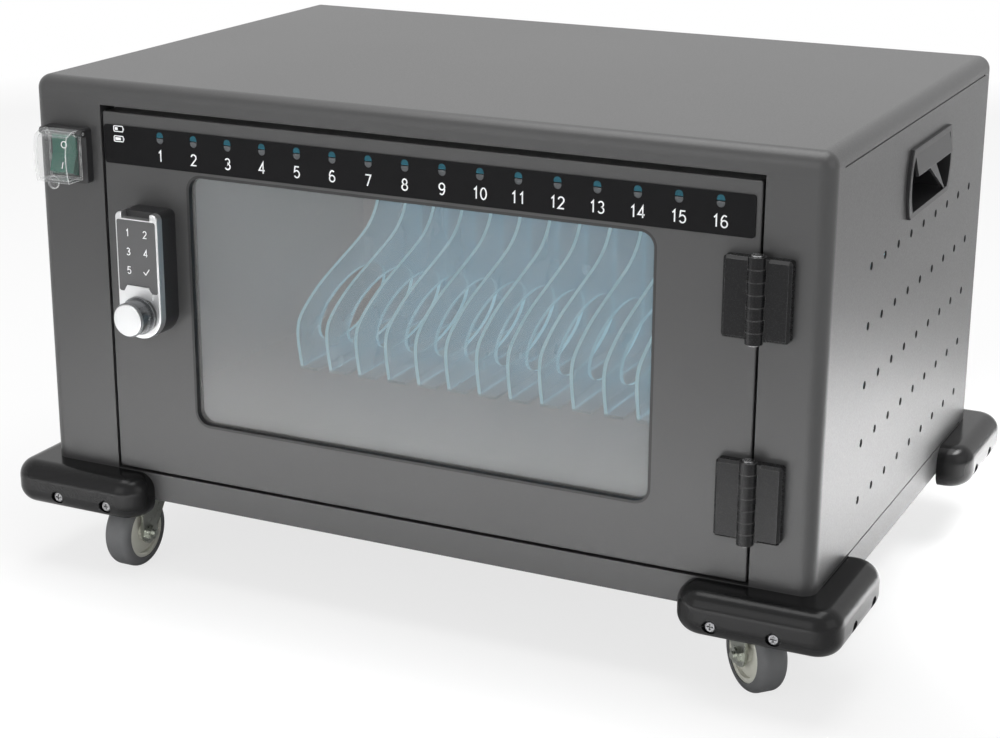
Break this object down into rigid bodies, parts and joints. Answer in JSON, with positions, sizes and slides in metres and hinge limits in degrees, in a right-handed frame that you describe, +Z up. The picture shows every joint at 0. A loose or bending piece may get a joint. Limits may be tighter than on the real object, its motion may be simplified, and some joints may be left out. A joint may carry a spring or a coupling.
{
  "type": "device charging cabinet",
  "caption": "Low metal charging cabinet on swivel casters with a windowed, keypad-locked door, upright device dividers, a covered mains switch and rubber corner bumpers.",
  "frame": {"origin": "on the floor under the middle of the whole box", "axes": "+X to the right seen from the front, -Y out of the door, +Z up"},
  "size_m": [0.704, 0.5072, 0.408],
  "materials": {
    "coat": "satin powder coat, anthracite",
    "inner_coat": "satin powder coat, grey",
    "foam": "matt foam",
    "black_rubber": "satin moulded rubber",
    "clear_pane": "clear",
    "clear_cover": "clear moulding",
    "blue_clear": "translucent pale blue",
    "black_plastic": "satin black",
    "gloss_black": "gloss black",
    "green_key": "gloss green",
    "teal_light": "translucent teal",
    "grey_light": "translucent grey",
    "board_green": "circuit board",
    "satin_silver": "satin silver",
    "keypad_grey": "dark grey touch panel",
    "knob_grey": "dark satin",
    "zinc": "zinc plated",
    "satin_black_metal": "satin black",
    "bright_steel": "bright",
    "tyre_grey": "grey tread",
    "hub_cream": "cream nylon",
    "case_metal": "plain sheet"
  },
  "bodies": {
    "cabinet": {"top_cover": "coat", "left_side_panel": "coat", "right_side_panel": "coat", "base_pan": "coat", "back_panel": "coat", "door_stop_frame": "inner_coat", "door_gasket": "foam", "left_partition": "inner_coat", "rear_partition": "inner_coat", "device_shelf": "inner_coat", "dividers": "blue_clear", "divider_feet": "blue_clear", "charge_port_bar": "black_plastic", "power_supply": "case_metal", "mains_inlet": "black_plastic", "fan_housing": "black_plastic", "side_handles": "black_plastic", "hinge_frame_leaves": "satin_black_metal", "hinge_pins": "bright_steel", "switch_body": "black_plastic", "bumper_front_left": "black_rubber", "bumper_front_right": "black_rubber", "bumper_rear_left": "black_rubber", "bumper_rear_right": "black_rubber", "pan_screws": "bright_steel", "caster_tops": "zinc", "caster_bolts": "zinc"},
    "door": {"door_panel": "coat", "window_pane": "clear_pane", "window_seal": "black_rubber", "indicator_strip": "gloss_black", "charging_lenses": "teal_light", "ready_lenses": "grey_light", "indicator_board": "board_green", "lock_housing": "black_plastic", "lock_face": "satin_silver", "keypad_panel": "keypad_grey", "lock_nut": "zinc", "hinge_door_leaves": "satin_black_metal"},
    "lock_knob": {"lock_knob": "knob_grey", "knob_cap": "satin_silver", "lock_spindle": "zinc", "latch_cam": "zinc"},
    "switch_rocker": {"switch_rocker": "green_key"},
    "switch_cover": {"switch_cover": "clear_cover"},
    "fan_rotor": {"fan_rotor": "black_plastic"},
    "caster_front_left": {"caster_fork_front_left": "zinc"},
    "wheel_front_left": {"caster_tyre_front_left": "tyre_grey", "caster_hub_front_left": "hub_cream"},
    "caster_front_right": {"caster_fork_front_right": "zinc"},
    "wheel_front_right": {"caster_tyre_front_right": "tyre_grey", "caster_hub_front_right": "hub_cream"},
    "caster_rear_left": {"caster_fork_rear_left": "zinc"},
    "wheel_rear_left": {"caster_tyre_rear_left": "tyre_grey", "caster_hub_rear_left": "hub_cream"},
    "caster_rear_right": {"caster_fork_rear_right": "zinc"},
    "wheel_rear_right": {"caster_tyre_rear_right": "tyre_grey", "caster_hub_rear_right": "hub_cream"}
  },
  "joints": [
    {"name": "door_hinge", "type": "hinge", "parent": "cabinet", "child": "door", "pos_m": [0.277, -0.2204, 0.231], "axis": [0, 0, 1], "range_deg": [0, 170]},
    {"name": "knob_turn", "type": "hinge", "parent": "door", "child": "lock_knob", "pos_m": [-0.216, -0.2144, 0.233], "axis": [0, 1, 0], "range_deg": [0, 90]},
    {"name": "rocker_tilt", "type": "hinge", "parent": "cabinet", "child": "switch_rocker", "pos_m": [-0.2915, -0.2144, 0.349], "axis": [1, 0, 0], "range_deg": [0, 20]},
    {"name": "cover_flip", "type": "hinge", "parent": "cabinet", "child": "switch_cover", "pos_m": [-0.2915, -0.222, 0.36735], "axis": [-1, 0, 0], "range_deg": [0, 95]},
    {"name": "fan_spin", "type": "hinge", "parent": "cabinet", "child": "fan_rotor", "pos_m": [0.12, 0.2111, 0.284], "axis": [0, 1, 0], "continuous": true},
    {"name": "swivel_front_left", "type": "hinge", "parent": "cabinet", "child": "caster_front_left", "pos_m": [-0.263, -0.1724, 0.065], "axis": [0, 0, 1], "continuous": true},
    {"name": "roll_front_left", "type": "hinge", "parent": "caster_front_left", "child": "wheel_front_left", "pos_m": [-0.263, -0.1924, 0.03], "axis": [1, 0, 0], "continuous": true},
    {"name": "swivel_front_right", "type": "hinge", "parent": "cabinet", "child": "caster_front_right", "pos_m": [0.263, -0.1724, 0.065], "axis": [0, 0, 1], "continuous": true},
    {"name": "roll_front_right", "type": "hinge", "parent": "caster_front_right", "child": "wheel_front_right", "pos_m": [0.27786, -0.18578, 0.03], "axis": [0.6691, 0.7431, 0], "continuous": true},
    {"name": "swivel_rear_left", "type": "hinge", "parent": "cabinet", "child": "caster_rear_left", "pos_m": [-0.263, 0.1876, 0.065], "axis": [0, 0, 1], "continuous": true},
    {"name": "roll_rear_left", "type": "hinge", "parent": "caster_rear_left", "child": "wheel_rear_left", "pos_m": [-0.253, 0.20492, 0.03], "axis": [-0.866, 0.5, 0], "continuous": true},
    {"name": "swivel_rear_right", "type": "hinge", "parent": "cabinet", "child": "caster_rear_right", "pos_m": [0.263, 0.1876, 0.065], "axis": [0, 0, 1], "continuous": true},
    {"name": "roll_rear_right", "type": "hinge", "parent": "caster_rear_right", "child": "wheel_rear_right", "pos_m": [0.25455, 0.20573, 0.03], "axis": [-0.9063, -0.4226, 0], "continuous": true}
  ]
}
